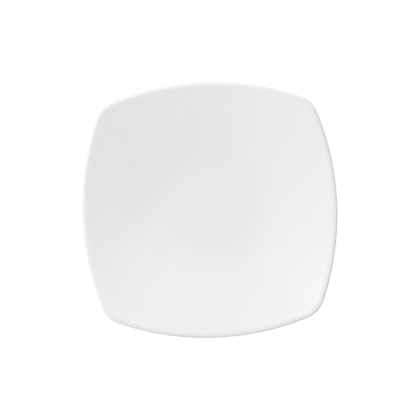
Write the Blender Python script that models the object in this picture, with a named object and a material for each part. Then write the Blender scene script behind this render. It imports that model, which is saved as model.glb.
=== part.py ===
"""Square coupe plate in glazed porcelain.

The face is a shallow dish: a flat round well, a curve out of it and a wall that bends up a little more on
its way out. The dish is cut to a square with bowed sides and round corners, so the round lip stands higher
at the corners than at the sides. The back follows the face, and the plate stands on a foot ring that
follows the square. The fired body carries two coats of glaze: one over the face, the lip and the back, and
one inside the foot ring. The foot itself is wiped bare.

Every section of the plate stands on a ray from the centre, so a direction and a depth below the finished
surface give the whole profile. Metres, +Z up, origin on the table under the middle of the plate.
"""

import math
from typing import NamedTuple

import bmesh
import bpy

MM = 0.001

# Outlines seen from above, over the glaze: the width between the middles of opposite sides, the radius of a
# bowed side and the radius of a corner
LIP_WIDTH = 254 * MM
LIP_BOW_RADIUS = 265 * MM
LIP_CORNER_RADIUS = 28 * MM
FOOT_WIDTH = 158 * MM
FOOT_BOW_RADIUS = 170 * MM
FOOT_CORNER_RADIUS = 30 * MM

# The dish, over the glaze: its flat well, where the curve out of the well becomes the wall, and the radius of
# each of the two in section
WELL_RADIUS = 33 * MM
WALL_START = 68 * MM
WELL_CURVE_RADIUS = 210 * MM
WALL_CURVE_RADIUS = 1200 * MM

# The wall, over the glaze. At the lip the face rolls over gently into a tighter nose. The nose's radius is a
# share of the wall's thickness, below a half.
WALL_THICKNESS = 5.6 * MM
LIP_ROLL_RADIUS = 10 * MM
LIP_NOSE_RADIUS = 0.47 * WALL_THICKNESS

# The foot, over the glaze
RECESS_HEIGHT = 3.4 * MM
FOOT_THICKNESS = 5.4 * MM
FOOT_FILLET = 1.6 * MM
FOOT_EDGE_RADIUS = 0.8 * MM

# The glaze: its coat, how high above the table the foot is wiped bare, and its distance from the body
GLAZE_THICKNESS = 0.35 * MM
GLAZE_LINE = 1.1 * MM
GLAZE_CLEARANCE = 0.3 * MM

# Facets along one side, one corner and each curve of the profile
SIDE_STEPS = 10
CORNER_STEPS = 6
FACE_STEPS = 8
CROWN_STEPS = 1
BROW_STEPS = 2
NOSE_STEPS = 3
BACK_STEPS = 5
RECESS_STEPS = 3
FILLET_STEPS = 3
EDGE_STEPS = 2

# A fillet or a rounded edge takes at most this share of the wall that it stands on
FILLET_SHARE = 0.8

GLAZE_COLOUR = (0.81, 0.81, 0.81, 1.0)
GLAZE_ROUGHNESS = 0.12
BODY_COLOUR = (0.74, 0.72, 0.68, 1.0)
BODY_ROUGHNESS = 0.75
SHARP_ANGLE = math.radians(40)

QUARTER = math.pi / 2
EIGHTH = math.pi / 4


class Outline(NamedTuple):
    """A square with bowed sides and round corners, round the origin."""

    width: float
    bow_radius: float
    corner_radius: float

    def arc_centres(self):
        """The x of the centre of the side that faces +X, and both coordinates of its corner's centre."""
        side = self.width / 2 - self.bow_radius
        reach = self.bow_radius - self.corner_radius
        corner = (side + math.sqrt(2 * reach**2 - side**2)) / 2
        return side, corner

    def half_span(self):
        """Half the angle of a side's arc, up to where the corner's arc takes over."""
        side, corner = self.arc_centres()
        return math.atan2(corner, corner - side)

    def radius(self, direction):
        """Distance from the origin to the outline along a direction."""
        side, corner = self.arc_centres()
        span = self.half_span()
        takeover = math.atan2(self.bow_radius * math.sin(span), side + self.bow_radius * math.cos(span))
        folded = abs((direction + EIGHTH) % QUARTER - EIGHTH)
        if folded <= takeover:
            across = side * math.sin(folded)
            along = side * math.cos(folded)
            return along + math.sqrt(self.bow_radius**2 - across**2)
        across = corner * (math.cos(folded) - math.sin(folded))
        along = corner * (math.cos(folded) + math.sin(folded))
        return along + math.sqrt(self.corner_radius**2 - across**2)


LIP = Outline(LIP_WIDTH, LIP_BOW_RADIUS, LIP_CORNER_RADIUS)
FOOT = Outline(FOOT_WIDTH, FOOT_BOW_RADIUS, FOOT_CORNER_RADIUS)


def directions():
    """The rays that carry the sections: even steps along each side and each corner of the lip, all round."""
    side, corner = LIP.arc_centres()
    span = LIP.half_span()
    rays = []
    for step in range(SIDE_STEPS):
        angle = span * (2 * step / SIDE_STEPS - 1)
        x = side + LIP.bow_radius * math.cos(angle)
        y = LIP.bow_radius * math.sin(angle)
        rays.append(math.atan2(y, x))
    for step in range(CORNER_STEPS):
        angle = span + (QUARTER - 2 * span) * step / CORNER_STEPS
        x = corner + LIP.corner_radius * math.cos(angle)
        y = corner + LIP.corner_radius * math.sin(angle)
        rays.append(math.atan2(y, x))
    return [ray + turn * QUARTER for turn in range(4) for ray in rays]


def even(start, end, steps):
    """Evenly spaced numbers, both ends included."""
    return [start + (end - start) * step / steps for step in range(steps + 1)]


class Circle(NamedTuple):
    """A circle in a section: the distance of its centre from the axis, its height, and its radius."""

    x: float
    z: float
    radius: float

    def arc(self, start, end, steps, grow=0.0):
        """Points (distance from the axis, height) along the circle, grown or shrunk, both ends included."""
        radius = self.radius + grow
        angles = even(start, end, steps)
        return [(self.x + radius * math.cos(angle), self.z + radius * math.sin(angle)) for angle in angles]


# The two circles of the dish, which touch where the wall starts. Below the face, at any depth in the
# material, the section runs along circles round the same centres.
FLOOR_HEIGHT = RECESS_HEIGHT + WALL_THICKNESS
WALL_LEAN = math.asin((WALL_START - WELL_RADIUS) / WELL_CURVE_RADIUS)
WELL_CURVE = Circle(WELL_RADIUS, FLOOR_HEIGHT + WELL_CURVE_RADIUS, WELL_CURVE_RADIUS)
WALL_CURVE = Circle(
    WALL_START - WALL_CURVE_RADIUS * math.sin(WALL_LEAN),
    WELL_CURVE.z + (WALL_CURVE_RADIUS - WELL_CURVE_RADIUS) * math.cos(WALL_LEAN),
    WALL_CURVE_RADIUS,
)


def dish_circle(distance, depth):
    """The circle that the dish follows at a distance from the axis and a depth below its face."""
    wall_start = WELL_CURVE.x + (WELL_CURVE.radius + depth) * math.sin(WALL_LEAN)
    return WELL_CURVE if distance < wall_start else WALL_CURVE


def dish_lean(distance, depth):
    """How far the dish leans from level there, as an angle."""
    circle = dish_circle(distance, depth)
    return math.asin(max(distance - circle.x, 0.0) / (circle.radius + depth))


def dish_height(distance, depth):
    """The height of the dish above the table there."""
    circle = dish_circle(distance, depth)
    return circle.z - (circle.radius + depth) * math.cos(dish_lean(distance, depth))


def dish_run(start, end, depth, steps):
    """Points along the dish from one distance to another."""
    return [(distance, dish_height(distance, depth)) for distance in even(start, end, steps)]


class Bead(NamedTuple):
    """A circle that sits against the dish, and how far the dish leans there."""

    circle: Circle
    lean: float

    def touch(self, grow):
        """How far off the centre, along the radius of the plate, the grown circle touches the dish."""
        return (self.circle.radius + grow) * math.sin(self.lean)


def bead(distance, depth, radius):
    """A circle with its centre at a distance from the axis and a depth below the face."""
    return Bead(Circle(distance, dish_height(distance, depth), radius), dish_lean(distance, depth))


def lip_roll(nose):
    """The large round of the lip: it touches the face from below, and the nose lies against it inside."""
    to_roll = WALL_CURVE.radius + LIP_ROLL_RADIUS
    to_nose = WALL_CURVE.radius + WALL_THICKNESS - LIP_NOSE_RADIUS
    apart = LIP_ROLL_RADIUS - LIP_NOSE_RADIUS
    swing = math.acos((to_roll**2 + to_nose**2 - apart**2) / (2 * to_roll * to_nose))
    distance = WALL_CURVE.x + to_roll * math.sin(nose.lean - swing)
    return bead(distance, LIP_ROLL_RADIUS, LIP_ROLL_RADIUS)


class Section(NamedTuple):
    """What differs from ray to ray: the two rounds of the lip, the fillets of the foot and its two walls."""

    roll: Bead
    nose: Bead
    outer_fillet: Bead
    inner_fillet: Bead
    outer_wall: float
    inner_wall: float


def section(direction):
    """The section of the finished plate on a ray."""
    fillet = min(FOOT_FILLET, FILLET_SHARE * (RECESS_HEIGHT - GLAZE_LINE))
    outer_wall = FOOT.radius(direction)
    inner_wall = outer_wall - FOOT_THICKNESS
    nose = bead(LIP.radius(direction) - LIP_NOSE_RADIUS, WALL_THICKNESS - LIP_NOSE_RADIUS, LIP_NOSE_RADIUS)
    return Section(
        lip_roll(nose),
        nose,
        bead(outer_wall + fillet, WALL_THICKNESS + fillet, fillet),
        bead(inner_wall - fillet, WALL_THICKNESS + fillet, fillet),
        outer_wall,
        inner_wall,
    )


def face_and_back(plate, depth):
    """From the edge of the well over the lip and down the back to the foot, at a depth in the material."""
    roll, roll_lean = plate.roll
    nose, nose_lean = plate.nose
    foot, foot_lean = plate.outer_fillet
    handover = math.atan2(nose.z - roll.z, nose.x - roll.x)
    face = dish_run(WELL_RADIUS, roll.x - plate.roll.touch(-depth), depth, FACE_STEPS)
    crown = roll.arc(QUARTER + roll_lean, QUARTER, CROWN_STEPS, -depth)
    brow = roll.arc(QUARTER, handover, BROW_STEPS, -depth)
    tip = nose.arc(handover, 0.0, NOSE_STEPS, -depth)
    chin = nose.arc(0.0, nose_lean - QUARTER, NOSE_STEPS, -depth)
    back_end = foot.x - plate.outer_fillet.touch(depth)
    back_start = nose.x + plate.nose.touch(-depth)
    back = dish_run(back_start, back_end, WALL_THICKNESS - depth, BACK_STEPS)
    fillet = foot.arc(QUARTER + foot_lean, math.pi, FILLET_STEPS, depth)
    return face + crown[1:] + brow[1:] + tip[1:] + chin[1:] + back[1:] + fillet[1:]


def standing_edge(plate, depth):
    """Round the bare foot, from its outer wall under its flat standing face to its inner wall."""
    edge = min(FOOT_EDGE_RADIUS, FILLET_SHARE * GLAZE_LINE)
    outside = Circle(plate.outer_wall - depth - edge, edge, edge)
    inside = Circle(plate.inner_wall + depth + edge, edge, edge)
    return outside.arc(0.0, -QUARTER, EDGE_STEPS) + inside.arc(-QUARTER, -math.pi, EDGE_STEPS)


def recess(plate, depth):
    """From the inner wall of the foot along the ceiling inside the ring, at a depth in the material."""
    foot, foot_lean = plate.inner_fillet
    fillet = foot.arc(0.0, QUARTER + foot_lean, FILLET_STEPS, depth)
    ceiling_start = foot.x - plate.inner_fillet.touch(depth)
    ceiling = dish_run(ceiling_start, WELL_RADIUS, WALL_THICKNESS - depth, RECESS_STEPS)
    return fillet + ceiling[1:]


def at_height(point, height):
    """The point straight above or below another, at a height."""
    return (point[0], height)


def body_profile(plate):
    """All round the fired body, from the edge of its floor to the edge of the level ceiling under it."""
    depth = GLAZE_THICKNESS + GLAZE_CLEARANCE
    return face_and_back(plate, depth) + standing_edge(plate, depth) + recess(plate, depth)


def glaze_coat_profile(plate):
    """Out along the finished surface, over the wiped edge on the foot, and back along the inside."""
    outside = face_and_back(plate, 0.0)
    inside = face_and_back(plate, GLAZE_THICKNESS)
    edge = [at_height(outside[-1], GLAZE_LINE), at_height(inside[-1], GLAZE_LINE)]
    return outside + edge + inside[::-1]


def recess_glaze_profile(plate):
    """From the ceiling down the inner wall of the foot, over the wiped edge, and back along the inside."""
    outside = recess(plate, 0.0)
    inside = recess(plate, GLAZE_THICKNESS)
    edge = [at_height(outside[0], GLAZE_LINE), at_height(inside[0], GLAZE_LINE)]
    return outside[::-1] + edge + inside


def loft(name, profile, material, collection):
    """A closed solid through the profiles on all the rays, with a flat cap in its first and last ring."""
    rays = directions()
    profiles = [profile(section(ray)) for ray in rays]
    shape = bmesh.new()
    rings = []
    for points in zip(*profiles):
        ring = [
            shape.verts.new((distance * math.cos(ray), distance * math.sin(ray), height))
            for ray, (distance, height) in zip(rays, points)
        ]
        rings.append(ring)
    for ring, following in zip(rings, rings[1:]):
        for index in range(len(rays)):
            shape.faces.new((ring[index - 1], ring[index], following[index], following[index - 1]))
    shape.faces.new(rings[0])
    shape.faces.new(rings[-1])
    bmesh.ops.recalc_face_normals(shape, faces=shape.faces)

    mesh = bpy.data.meshes.new(name)
    shape.to_mesh(mesh)
    shape.free()
    mesh.materials.append(material)
    mesh.shade_smooth()
    mesh.set_sharp_from_angle(angle=SHARP_ANGLE)
    solid = bpy.data.objects.new(name, mesh)
    collection.objects.link(solid)


def surface(name, colour, roughness):
    """A plain non-metal material."""
    material = bpy.data.materials.new(name)
    material.use_nodes = True
    shader = material.node_tree.nodes["Principled BSDF"]
    shader.inputs["Base Color"].default_value = colour
    shader.inputs["Roughness"].default_value = roughness
    shader.inputs["Metallic"].default_value = 0.0
    return material


def main():
    for leftover in list(bpy.data.objects):
        bpy.data.objects.remove(leftover)
    plate = bpy.data.collections.new("square_plate")
    bpy.context.scene.collection.children.link(plate)
    glaze = surface("white_glaze", GLAZE_COLOUR, GLAZE_ROUGHNESS)
    biscuit = surface("bare_porcelain", BODY_COLOUR, BODY_ROUGHNESS)
    loft("porcelain_body", body_profile, biscuit, plate)
    loft("glaze_coat", glaze_coat_profile, glaze, plate)
    loft("foot_recess_glaze", recess_glaze_profile, glaze, plate)


if __name__ == "__main__":
    main()
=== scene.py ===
import math
from typing import NamedTuple

import bmesh
import bpy
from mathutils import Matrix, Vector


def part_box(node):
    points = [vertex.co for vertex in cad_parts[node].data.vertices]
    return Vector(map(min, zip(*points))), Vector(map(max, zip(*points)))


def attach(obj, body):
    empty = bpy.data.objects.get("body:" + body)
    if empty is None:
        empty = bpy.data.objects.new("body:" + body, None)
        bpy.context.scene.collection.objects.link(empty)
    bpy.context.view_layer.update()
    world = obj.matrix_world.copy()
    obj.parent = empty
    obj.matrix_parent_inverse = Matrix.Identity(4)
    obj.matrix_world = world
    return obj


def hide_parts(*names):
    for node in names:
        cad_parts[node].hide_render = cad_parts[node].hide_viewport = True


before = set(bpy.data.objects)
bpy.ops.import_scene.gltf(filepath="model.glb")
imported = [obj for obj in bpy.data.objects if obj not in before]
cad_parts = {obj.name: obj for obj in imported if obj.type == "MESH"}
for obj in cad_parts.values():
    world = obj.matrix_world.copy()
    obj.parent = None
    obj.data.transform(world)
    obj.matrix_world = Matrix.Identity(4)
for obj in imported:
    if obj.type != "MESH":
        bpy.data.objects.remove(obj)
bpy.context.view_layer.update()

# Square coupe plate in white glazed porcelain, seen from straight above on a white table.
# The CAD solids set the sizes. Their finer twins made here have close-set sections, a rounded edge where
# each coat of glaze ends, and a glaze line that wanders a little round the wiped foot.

MM = 0.001
QUARTER = math.pi / 2
EIGHTH = math.pi / 4

# The plate over its glaze, as in the CAD model
coat_low, coat_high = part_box("glaze_coat")
LIP_WIDTH = coat_high.x - coat_low.x
LIP_BOW_RADIUS = 265 * MM
LIP_CORNER_RADIUS = 28 * MM
FOOT_WIDTH = 158 * MM
FOOT_BOW_RADIUS = 170 * MM
FOOT_CORNER_RADIUS = 30 * MM
WELL_RADIUS = 33 * MM
WALL_START = 68 * MM
WELL_CURVE_RADIUS = 210 * MM
WALL_CURVE_RADIUS = 1200 * MM
WALL_THICKNESS = 5.6 * MM
LIP_ROLL_RADIUS = 10 * MM
LIP_NOSE_RADIUS = 0.47 * WALL_THICKNESS
RECESS_HEIGHT = 3.4 * MM
FOOT_THICKNESS = 5.4 * MM
FOOT_FILLET = 1.6 * MM
FOOT_EDGE_RADIUS = 0.8 * MM
GLAZE_THICKNESS = 0.35 * MM
GLAZE_LINE = 1.1 * MM

# Only here: the body comes up closer under the glaze, and the edge of the glaze wanders in waves, each
# given by its count round the plate, its height and its phase
BODY_GAP = 0.03 * MM
LINE_WAVES = ((5, 0.07 * MM, 0.4), (11, 0.05 * MM, 2.1), (23, 0.03 * MM, 4.0))

# How finely the meshes are cut: along the lip, then along a section
SIDE_STEPS = 52
CORNER_STEPS = 28
FACE_STEPS = 52
CROWN_STEPS = 6
BROW_STEPS = 10
NOSE_STEPS = 14
BACK_STEPS = 32
RECESS_STEPS = 30
FILLET_STEPS = 10
EDGE_STEPS = 8
SHARP_ANGLE = math.radians(50)


class Outline(NamedTuple):
    """A square with bowed sides and round corners, round the origin."""

    width: float
    bow_radius: float
    corner_radius: float

    def arc_centres(self):
        """Where arcs have their centres: the right side's x, and the corner's x, which is also its y."""
        side = self.width / 2 - self.bow_radius
        reach = self.bow_radius - self.corner_radius
        corner = (side + math.sqrt(2 * reach**2 - side**2)) / 2
        return side, corner

    def half_span(self):
        """Half the angle that a side's arc spans round its own centre."""
        side, corner = self.arc_centres()
        return math.atan2(corner, corner - side)

    def radius(self, direction):
        """Distance from the origin to the outline along a direction."""
        side, corner = self.arc_centres()
        span = self.half_span()
        takeover = math.atan2(self.bow_radius * math.sin(span), side + self.bow_radius * math.cos(span))
        folded = abs((direction + EIGHTH) % QUARTER - EIGHTH)
        if folded <= takeover:
            across = side * math.sin(folded)
            along = side * math.cos(folded)
            return along + math.sqrt(self.bow_radius**2 - across**2)
        across = corner * (math.cos(folded) - math.sin(folded))
        along = corner * (math.cos(folded) + math.sin(folded))
        return along + math.sqrt(self.corner_radius**2 - across**2)


LIP = Outline(LIP_WIDTH, LIP_BOW_RADIUS, LIP_CORNER_RADIUS)
FOOT = Outline(FOOT_WIDTH, FOOT_BOW_RADIUS, FOOT_CORNER_RADIUS)


def directions():
    """The rays that carry the sections: even steps along each side and corner of the lip, all round."""
    side, corner = LIP.arc_centres()
    span = LIP.half_span()
    rays = []
    for step in range(SIDE_STEPS):
        angle = span * (2 * step / SIDE_STEPS - 1)
        rays.append(math.atan2(LIP.bow_radius * math.sin(angle), side + LIP.bow_radius * math.cos(angle)))
    for step in range(CORNER_STEPS):
        angle = span + (QUARTER - 2 * span) * step / CORNER_STEPS
        x = corner + LIP.corner_radius * math.cos(angle)
        y = corner + LIP.corner_radius * math.sin(angle)
        rays.append(math.atan2(y, x))
    return [ray + turn * QUARTER for turn in range(4) for ray in rays]


def even(start, end, steps):
    """Evenly spaced numbers, both ends included."""
    return [start + (end - start) * step / steps for step in range(steps + 1)]


class Circle(NamedTuple):
    """A circle in a section: the distance of its centre from the axis, its height, and its radius."""

    x: float
    z: float
    radius: float

    def arc(self, start, end, steps, grow=0.0):
        """Points from one angle to another, on a circle that is larger by grow."""
        radius = self.radius + grow
        angles = even(start, end, steps)
        return [(self.x + radius * math.cos(angle), self.z + radius * math.sin(angle)) for angle in angles]


FLOOR_HEIGHT = RECESS_HEIGHT + WALL_THICKNESS
WALL_LEAN = math.asin((WALL_START - WELL_RADIUS) / WELL_CURVE_RADIUS)
WELL_CURVE = Circle(WELL_RADIUS, FLOOR_HEIGHT + WELL_CURVE_RADIUS, WELL_CURVE_RADIUS)
WALL_CURVE = Circle(
    WALL_START - WALL_CURVE_RADIUS * math.sin(WALL_LEAN),
    WELL_CURVE.z + (WALL_CURVE_RADIUS - WELL_CURVE_RADIUS) * math.cos(WALL_LEAN),
    WALL_CURVE_RADIUS,
)


def dish_circle(distance, depth):
    """The circle that the dish follows at a distance from the axis and a depth below its face."""
    wall_start = WELL_CURVE.x + (WELL_CURVE.radius + depth) * math.sin(WALL_LEAN)
    return WELL_CURVE if distance < wall_start else WALL_CURVE


def dish_lean(distance, depth):
    """How far the dish leans from level, as an angle."""
    circle = dish_circle(distance, depth)
    return math.asin(max(distance - circle.x, 0.0) / (circle.radius + depth))


def dish_height(distance, depth):
    circle = dish_circle(distance, depth)
    return circle.z - (circle.radius + depth) * math.cos(dish_lean(distance, depth))


def dish_run(start, end, depth, steps):
    """Points along the dish from one distance to another."""
    return [(distance, dish_height(distance, depth)) for distance in even(start, end, steps)]


class Bead(NamedTuple):
    """A circle that sits against the dish, and how far the dish leans there."""

    circle: Circle
    lean: float

    def touch(self, grow):
        """How far from the centre, along the level, the circle meets the dish when it is larger by grow."""
        return (self.circle.radius + grow) * math.sin(self.lean)


def bead(distance, depth, radius):
    return Bead(Circle(distance, dish_height(distance, depth), radius), dish_lean(distance, depth))


def lip_roll(nose):
    """The large round of the lip: it touches the face from below, and the nose lies against it inside."""
    to_roll = WALL_CURVE.radius + LIP_ROLL_RADIUS
    to_nose = WALL_CURVE.radius + WALL_THICKNESS - LIP_NOSE_RADIUS
    apart = LIP_ROLL_RADIUS - LIP_NOSE_RADIUS
    swing = math.acos((to_roll**2 + to_nose**2 - apart**2) / (2 * to_roll * to_nose))
    distance = WALL_CURVE.x + to_roll * math.sin(nose.lean - swing)
    return bead(distance, LIP_ROLL_RADIUS, LIP_ROLL_RADIUS)


class Section(NamedTuple):
    """What differs from ray to ray: the rounds of lip and foot, the foot's walls, and the glaze's edge."""

    roll: Bead
    nose: Bead
    outer_fillet: Bead
    inner_fillet: Bead
    outer_wall: float
    inner_wall: float
    glaze_line: float


def section(direction):
    outer_wall = FOOT.radius(direction)
    inner_wall = outer_wall - FOOT_THICKNESS
    nose = bead(LIP.radius(direction) - LIP_NOSE_RADIUS, WALL_THICKNESS - LIP_NOSE_RADIUS, LIP_NOSE_RADIUS)
    wander = sum(size * math.sin(count * direction + phase) for count, size, phase in LINE_WAVES)
    return Section(
        lip_roll(nose),
        nose,
        bead(outer_wall + FOOT_FILLET, WALL_THICKNESS + FOOT_FILLET, FOOT_FILLET),
        bead(inner_wall - FOOT_FILLET, WALL_THICKNESS + FOOT_FILLET, FOOT_FILLET),
        outer_wall,
        inner_wall,
        GLAZE_LINE + wander,
    )


def face_and_back(plate, depth):
    """From the edge of the well over the lip and down the back to the foot, at a depth in the material."""
    roll, roll_lean = plate.roll
    nose, nose_lean = plate.nose
    foot, foot_lean = plate.outer_fillet
    handover = math.atan2(nose.z - roll.z, nose.x - roll.x)
    face = dish_run(WELL_RADIUS, roll.x - plate.roll.touch(-depth), depth, FACE_STEPS)
    crown = roll.arc(QUARTER + roll_lean, QUARTER, CROWN_STEPS, -depth)
    brow = roll.arc(QUARTER, handover, BROW_STEPS, -depth)
    tip = nose.arc(handover, 0.0, NOSE_STEPS, -depth)
    chin = nose.arc(0.0, nose_lean - QUARTER, NOSE_STEPS, -depth)
    back_end = foot.x - plate.outer_fillet.touch(depth)
    back_start = nose.x + plate.nose.touch(-depth)
    back = dish_run(back_start, back_end, WALL_THICKNESS - depth, BACK_STEPS)
    fillet = foot.arc(QUARTER + foot_lean, math.pi, FILLET_STEPS, depth)
    return face + crown[1:] + brow[1:] + tip[1:] + chin[1:] + back[1:] + fillet[1:]


def standing_edge(plate, depth):
    """Round the bare foot, from its outer wall under its flat standing face to its inner wall."""
    outside = Circle(plate.outer_wall - depth - FOOT_EDGE_RADIUS, FOOT_EDGE_RADIUS, FOOT_EDGE_RADIUS)
    inside = Circle(plate.inner_wall + depth + FOOT_EDGE_RADIUS, FOOT_EDGE_RADIUS, FOOT_EDGE_RADIUS)
    return outside.arc(0.0, -QUARTER, EDGE_STEPS) + inside.arc(-QUARTER, -math.pi, EDGE_STEPS)


def recess(plate, depth):
    """From the inner wall of the foot along the ceiling inside the ring, at a depth in the material."""
    foot, foot_lean = plate.inner_fillet
    fillet = foot.arc(0.0, QUARTER + foot_lean, FILLET_STEPS, depth)
    ceiling_start = foot.x - plate.inner_fillet.touch(depth)
    ceiling = dish_run(ceiling_start, WELL_RADIUS, WALL_THICKNESS - depth, RECESS_STEPS)
    return fillet + ceiling[1:]


def glaze_edge(plate, wall, start, end):
    """The rounded edge of a coat of glaze on a wall of the foot."""
    half = GLAZE_THICKNESS / 2
    return Circle(wall, plate.glaze_line + half, half).arc(start, end, EDGE_STEPS)


def body_profile(plate):
    depth = GLAZE_THICKNESS + BODY_GAP
    return face_and_back(plate, depth) + standing_edge(plate, depth) + recess(plate, depth)


def glaze_coat_profile(plate):
    edge = glaze_edge(plate, plate.outer_wall - GLAZE_THICKNESS / 2, 0.0, -math.pi)
    return face_and_back(plate, 0.0) + edge + face_and_back(plate, GLAZE_THICKNESS)[::-1]


def recess_glaze_profile(plate):
    edge = glaze_edge(plate, plate.inner_wall + GLAZE_THICKNESS / 2, -math.pi, 0.0)
    return recess(plate, 0.0)[::-1] + edge + recess(plate, GLAZE_THICKNESS)


def loft(name, profile, material):
    """A closed mesh through the profiles on all the rays, with a flat cap in its first and last ring."""
    rays = directions()
    profiles = [profile(section(ray)) for ray in rays]
    shape = bmesh.new()
    rings = []
    for points in zip(*profiles):
        ring = [
            shape.verts.new((distance * math.cos(ray), distance * math.sin(ray), height))
            for ray, (distance, height) in zip(rays, points)
        ]
        rings.append(ring)
    for ring, following in zip(rings, rings[1:]):
        for index in range(len(rays)):
            shape.faces.new((ring[index - 1], ring[index], following[index], following[index - 1]))
    shape.faces.new(rings[0])
    shape.faces.new(rings[-1])
    bmesh.ops.recalc_face_normals(shape, faces=shape.faces)
    mesh = bpy.data.meshes.new(name)
    shape.to_mesh(mesh)
    shape.free()
    mesh.materials.append(material)
    mesh.shade_smooth()
    mesh.set_sharp_from_angle(angle=SHARP_ANGLE)
    piece = bpy.data.objects.new(name, mesh)
    bpy.context.scene.collection.objects.link(piece)
    return piece


# Noise stays between these values nearly everywhere
NOISE_LOW = 0.3
NOISE_HIGH = 0.7


class Nodes:
    """A material's node tree, with short calls for the nodes used here."""

    def __init__(self, name):
        self.material = bpy.data.materials.new(name)
        self.material.use_nodes = True
        self.tree = self.material.node_tree
        self.shader = self.tree.nodes["Principled BSDF"]
        self.place = self.tree.nodes.new("ShaderNodeTexCoord").outputs["Object"]

    def link(self, source, target):
        self.tree.links.new(source, target)

    def noise(self, scale, detail, roughness=0.5):
        """Noise over the object, with a scale in features per metre and finer noise added detail times."""
        node = self.tree.nodes.new("ShaderNodeTexNoise")
        node.inputs["Scale"].default_value = scale
        node.inputs["Detail"].default_value = detail
        node.inputs["Roughness"].default_value = roughness
        self.link(self.place, node.inputs["Vector"])
        return node.outputs["Fac"]

    def height(self):
        """The height above the table, in metres."""
        node = self.tree.nodes.new("ShaderNodeSeparateXYZ")
        self.link(self.place, node.inputs[0])
        return node.outputs["Z"]

    def spread(self, value, low, high, start=NOISE_LOW, end=NOISE_HIGH):
        """Goes from low to high as a value goes from start to end."""
        node = self.tree.nodes.new("ShaderNodeMapRange")
        node.inputs["From Min"].default_value = start
        node.inputs["From Max"].default_value = end
        node.inputs["To Min"].default_value = low
        node.inputs["To Max"].default_value = high
        self.link(value, node.inputs["Value"])
        return node.outputs["Result"]

    def blend(self, factor, first, second):
        """A colour between two, by a factor."""
        node = self.tree.nodes.new("ShaderNodeMix")
        node.data_type = "RGBA"
        self.link(factor, node.inputs["Factor"])
        for socket, colour in (("A", first), ("B", second)):
            target = next(s for s in node.inputs if s.name == socket and s.type == "RGBA")
            if isinstance(colour, tuple):
                target.default_value = (*colour, 1.0)
            else:
                self.link(colour, target)
        return next(s for s in node.outputs if s.type == "RGBA")

    def bump(self, height, size, below=None):
        """Raises the surface by up to a size where the height is 1, over another bump if there is one."""
        node = self.tree.nodes.new("ShaderNodeBump")
        node.inputs["Distance"].default_value = size
        self.link(height, node.inputs["Height"])
        if below is not None:
            self.link(below, node.inputs["Normal"])
        return node.outputs["Normal"]


# White glaze: faintly cloudy, a little cooler where it ran thick above its edge on the foot, with a gloss
# that varies, slow ripples and a fine orange peel. The scales are features per metre.
GLAZE_CLOUD_SCALE = 28
GLAZE_DARKER = (0.800, 0.801, 0.802)
GLAZE_LIGHTER = (0.813, 0.812, 0.811)
RUN_HEIGHT = 3.6 * MM
RUN_COLOUR = (0.762, 0.776, 0.778)
RUN_SHARE = 0.7
GLOSS_SCALE = 90
GLAZE_SMOOTHEST = 0.06
GLAZE_ROUGHEST = 0.11
RIPPLE_SCALE = 45
RIPPLE_SIZE = 0.02 * MM
PEEL_SCALE = 700
PEEL_SIZE = 0.002 * MM
GLAZE_IOR = 1.5


def glaze_material():
    nodes = Nodes("white_glaze")
    cloud = nodes.spread(nodes.noise(GLAZE_CLOUD_SCALE, detail=3), 0.0, 1.0)
    cloudy = nodes.blend(cloud, GLAZE_DARKER, GLAZE_LIGHTER)
    run = nodes.spread(nodes.height(), RUN_SHARE, 0.0, GLAZE_LINE, RUN_HEIGHT)
    nodes.link(nodes.blend(run, cloudy, RUN_COLOUR), nodes.shader.inputs["Base Color"])
    gloss = nodes.spread(nodes.noise(GLOSS_SCALE, detail=4), GLAZE_SMOOTHEST, GLAZE_ROUGHEST)
    nodes.link(gloss, nodes.shader.inputs["Roughness"])
    ripple = nodes.bump(nodes.noise(RIPPLE_SCALE, detail=2), RIPPLE_SIZE)
    peel = nodes.bump(nodes.noise(PEEL_SCALE, detail=2), PEEL_SIZE, below=ripple)
    nodes.link(peel, nodes.shader.inputs["Normal"])
    nodes.shader.inputs["IOR"].default_value = GLAZE_IOR
    return nodes.material


# Bare fired porcelain on the ground foot: off-white, matt, with a fine grain and a few dark specks
CLAY_CLOUD_SCALE = 120
CLAY_DARKER = (0.71, 0.69, 0.65)
CLAY_LIGHTER = (0.77, 0.75, 0.71)
SPECK_SCALE = 1400
SPECK_EDGE = 0.68
SPECK_MIDDLE = 0.78
SPECK_COLOUR = (0.52, 0.48, 0.42)
SPECK_SHARE = 0.35
MATT_SCALE = 400
CLAY_SMOOTHEST = 0.68
CLAY_ROUGHEST = 0.86
GRAIN_SCALE = 2600
GRAIN_HARSHNESS = 0.7
GRAIN_SIZE = 0.02 * MM


def bare_material():
    nodes = Nodes("bare_porcelain")
    cloud = nodes.spread(nodes.noise(CLAY_CLOUD_SCALE, detail=4), 0.0, 1.0)
    clay = nodes.blend(cloud, CLAY_DARKER, CLAY_LIGHTER)
    specks = nodes.spread(nodes.noise(SPECK_SCALE, detail=2), 0.0, SPECK_SHARE, SPECK_EDGE, SPECK_MIDDLE)
    nodes.link(nodes.blend(specks, clay, SPECK_COLOUR), nodes.shader.inputs["Base Color"])
    matt = nodes.spread(nodes.noise(MATT_SCALE, detail=3), CLAY_SMOOTHEST, CLAY_ROUGHEST)
    nodes.link(matt, nodes.shader.inputs["Roughness"])
    grain = nodes.bump(nodes.noise(GRAIN_SCALE, detail=4, roughness=GRAIN_HARSHNESS), GRAIN_SIZE)
    nodes.link(grain, nodes.shader.inputs["Normal"])
    return nodes.material


# The pieces
glaze = glaze_material()
bare = bare_material()
for name, profile, material, node, slot in (
    ("glaze_shell", glaze_coat_profile, glaze, "glaze_coat", "white_glaze"),
    ("recess_glaze", recess_glaze_profile, glaze, "foot_recess_glaze", "white_glaze"),
    ("fired_body", body_profile, bare, "porcelain_body", "bare_porcelain"),
):
    piece = loft(name, profile, material)
    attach(piece, "root")
    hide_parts(node)


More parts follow.
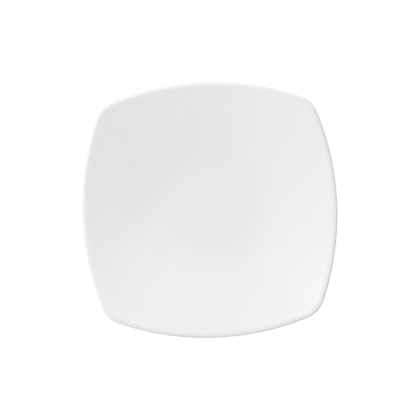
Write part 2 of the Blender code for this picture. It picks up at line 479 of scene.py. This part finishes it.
# The table: white paper. Seen by the camera or in a reflection it also glows, so that it is white where it
# is lit and keeps the shadow of the plate. The glow lights nothing.
FLOOR_HALF = 3.0
FLOOR_DROP = 0.1 * MM
PAPER_ALBEDO = 0.42
PAPER_GLOW = 0.80


def grey(value):
    return (value, value, value, 1.0)


def paper_material():
    material = bpy.data.materials.new("paper")
    material.use_nodes = True
    tree = material.node_tree
    tree.nodes.clear()
    paper = tree.nodes.new("ShaderNodeBsdfDiffuse")
    paper.inputs["Color"].default_value = grey(PAPER_ALBEDO)
    path = tree.nodes.new("ShaderNodeLightPath")
    seen = path.outputs["Is Camera Ray"]
    for name in ("Is Glossy Ray", "Is Transmission Ray"):
        either = tree.nodes.new("ShaderNodeMath")
        either.operation = "MAXIMUM"
        tree.links.new(seen, either.inputs[0])
        tree.links.new(path.outputs[name], either.inputs[1])
        seen = either.outputs[0]
    glow = tree.nodes.new("ShaderNodeEmission")
    glow.inputs["Color"].default_value = grey(PAPER_GLOW)
    tree.links.new(seen, glow.inputs["Strength"])
    lit = tree.nodes.new("ShaderNodeAddShader")
    tree.links.new(paper.outputs[0], lit.inputs[0])
    tree.links.new(glow.outputs[0], lit.inputs[1])
    output = tree.nodes.new("ShaderNodeOutputMaterial")
    tree.links.new(lit.outputs[0], output.inputs["Surface"])
    return material


floor_mesh = bpy.data.meshes.new("table")
corners = [(x * FLOOR_HALF, y * FLOOR_HALF, -FLOOR_DROP) for x, y in ((-1, -1), (1, -1), (1, 1), (-1, 1))]
floor_mesh.from_pydata(corners, [], [(0, 1, 2, 3)])
floor_mesh.materials.append(paper_material())
floor = bpy.data.objects.new("table", floor_mesh)
bpy.context.scene.collection.objects.link(floor)

# The light: a pale room that is lighter towards the upper left of the picture, and a large soft box there.
# What the glaze mirrors is white like the background, darker at the ceiling behind the camera, with the
# glow of the soft box and of a small light overhead. Bearings, heights, spreads and reaches are in degrees.
ROOM_STRENGTH = 0.79
ROOM_TILT = 0.31
LIGHT_BEARING = 143
LIGHT_HEIGHT = 40
BOX_DISTANCE = 4.0
BOX_SPREAD = 28
BOX_BRIGHTNESS = 1.7
CEILING_SHADE = 0.79
CEILING_REACH = 23


class Glow(NamedTuple):
    """A soft spot in what the glaze mirrors: its place, how far it is even and reaches, its strength."""

    bearing: float
    height: float
    even: float
    reach: float
    strength: float


BOX_GLOW = Glow(bearing=LIGHT_BEARING, height=47, even=21, reach=26, strength=0.9)
OVERHEAD_GLOW = Glow(bearing=47, height=78, even=5.2, reach=12.9, strength=0.96)


def cosine(degrees):
    return math.cos(math.radians(degrees))


def sine(degrees):
    return math.sin(math.radians(degrees))


def towards(bearing, height):
    """A direction by its bearing, anticlockwise from the plate's right, and its height above the table."""
    level = cosine(height)
    return (level * cosine(bearing), level * sine(bearing), sine(height))


class Sky:
    """The world's node tree, with short calls for the nodes used here."""

    def __init__(self, name):
        self.world = bpy.data.worlds.new(name)
        self.world.use_nodes = True
        self.tree = self.world.node_tree
        self.tree.nodes.clear()
        self.ray = self.tree.nodes.new("ShaderNodeTexCoord").outputs["Generated"]
        self.path = self.tree.nodes.new("ShaderNodeLightPath")

    def along(self, direction):
        """How far a ray points along a direction, from -1 to 1."""
        node = self.tree.nodes.new("ShaderNodeVectorMath")
        node.operation = "DOT_PRODUCT"
        node.inputs[1].default_value = direction
        self.tree.links.new(self.ray, node.inputs[0])
        return node.outputs["Value"]

    def spread(self, value, start, end, low, high, shape="SMOOTHSTEP"):
        """Goes from low to high as a value goes from start to end."""
        node = self.tree.nodes.new("ShaderNodeMapRange")
        node.interpolation_type = shape
        for socket, number in (("From Min", start), ("From Max", end), ("To Min", low), ("To Max", high)):
            node.inputs[socket].default_value = number
        self.tree.links.new(value, node.inputs["Value"])
        return node.outputs["Result"]

    def combine(self, operation, first, second):
        """The sum, or the larger, of two values."""
        node = self.tree.nodes.new("ShaderNodeMath")
        node.operation = operation
        self.tree.links.new(first, node.inputs[0])
        self.tree.links.new(second, node.inputs[1])
        return node.outputs[0]

    def white(self, strength=None):
        """White light of a strength, or else of strength 1."""
        node = self.tree.nodes.new("ShaderNodeBackground")
        node.inputs["Color"].default_value = grey(1.0)
        if strength is not None:
            self.tree.links.new(strength, node.inputs["Strength"])
        return node.outputs[0]

    def either(self, factor, first, second):
        """The first light where the factor is 0, and the second where it is 1."""
        node = self.tree.nodes.new("ShaderNodeMixShader")
        for socket, source in zip(node.inputs, (factor, first, second)):
            self.tree.links.new(source, socket)
        return node.outputs[0]


def paint_room():
    """The world: white to the camera, the mirrored room to mirrored rays, the pale room to all others."""
    sky = Sky("room")
    darkest = ROOM_STRENGTH * (1 - ROOM_TILT)
    lightest = ROOM_STRENGTH * (1 + ROOM_TILT)
    scattered = sky.spread(sky.along(towards(LIGHT_BEARING, 0)), -1.0, 1.0, darkest, lightest, "LINEAR")
    zenith = sky.along((0.0, 0.0, 1.0))
    mirrored = sky.spread(zenith, cosine(CEILING_REACH), 1.0, 1.0, 1 - CEILING_SHADE)
    for glow in (BOX_GLOW, OVERHEAD_GLOW):
        nearness = sky.along(towards(glow.bearing, glow.height))
        spot = sky.spread(nearness, cosine(glow.reach), cosine(glow.even), 0.0, glow.strength)
        mirrored = sky.combine("ADD", mirrored, spot)
    rays = sky.path.outputs
    mirror = sky.combine("MAXIMUM", rays["Is Glossy Ray"], rays["Is Transmission Ray"])
    light = sky.either(mirror, sky.white(scattered), sky.white(mirrored))
    seen = sky.either(rays["Is Camera Ray"], light, sky.white())
    output = sky.tree.nodes.new("ShaderNodeOutputWorld")
    sky.tree.links.new(seen, output.inputs["Surface"])
    bpy.context.scene.world = sky.world


def hang_soft_box():
    """A round soft box that faces the plate. Its brightness is that of a white sky of the same strength."""
    data = bpy.data.lights.new("soft_box", "AREA")
    data.shape = "DISK"
    data.size = 2 * BOX_DISTANCE * math.tan(math.radians(BOX_SPREAD))
    area = math.pi * (data.size / 2) ** 2
    data.energy = BOX_BRIGHTNESS * math.pi * area
    light = bpy.data.objects.new("soft_box", data)
    light.location = [BOX_DISTANCE * part for part in towards(LIGHT_BEARING, LIGHT_HEIGHT)]
    light.rotation_mode = "QUATERNION"
    light.rotation_quaternion = (-light.location).to_track_quat("-Z", "Y")
    light.visible_camera = False
    light.visible_glossy = False
    bpy.context.scene.collection.objects.link(light)


paint_room()
hang_soft_box()

# The camera: straight above. In the photograph, which is 420 pixels across, the plate is 255.6 pixels wide,
# its middle lies about half a pixel left of the picture's, and it is turned by 1.84 degrees. The height is
# about that of the plate's edge in the middle of a side.
PICTURE = 420
PLATE_PIXELS = 255.6
PLATE_TURN = math.radians(1.84)
PLATE_LEFT = 0.45
LENS = 135.0
EDGE_HEIGHT = 19.5 * MM

pixel = LIP_WIDTH / PLATE_PIXELS
camera_data = bpy.data.cameras.new("camera")
camera_data.lens = LENS
distance = PICTURE * pixel * LENS / camera_data.sensor_width
camera = bpy.data.objects.new("camera", camera_data)
aside = PLATE_LEFT * pixel
camera.location = (aside * math.cos(PLATE_TURN), -aside * math.sin(PLATE_TURN), EDGE_HEIGHT + distance)
camera.rotation_euler = (0.0, 0.0, -PLATE_TURN)
bpy.context.scene.collection.objects.link(camera)
bpy.context.scene.camera = camera
bpy.context.scene.view_settings.view_transform = "Standard"
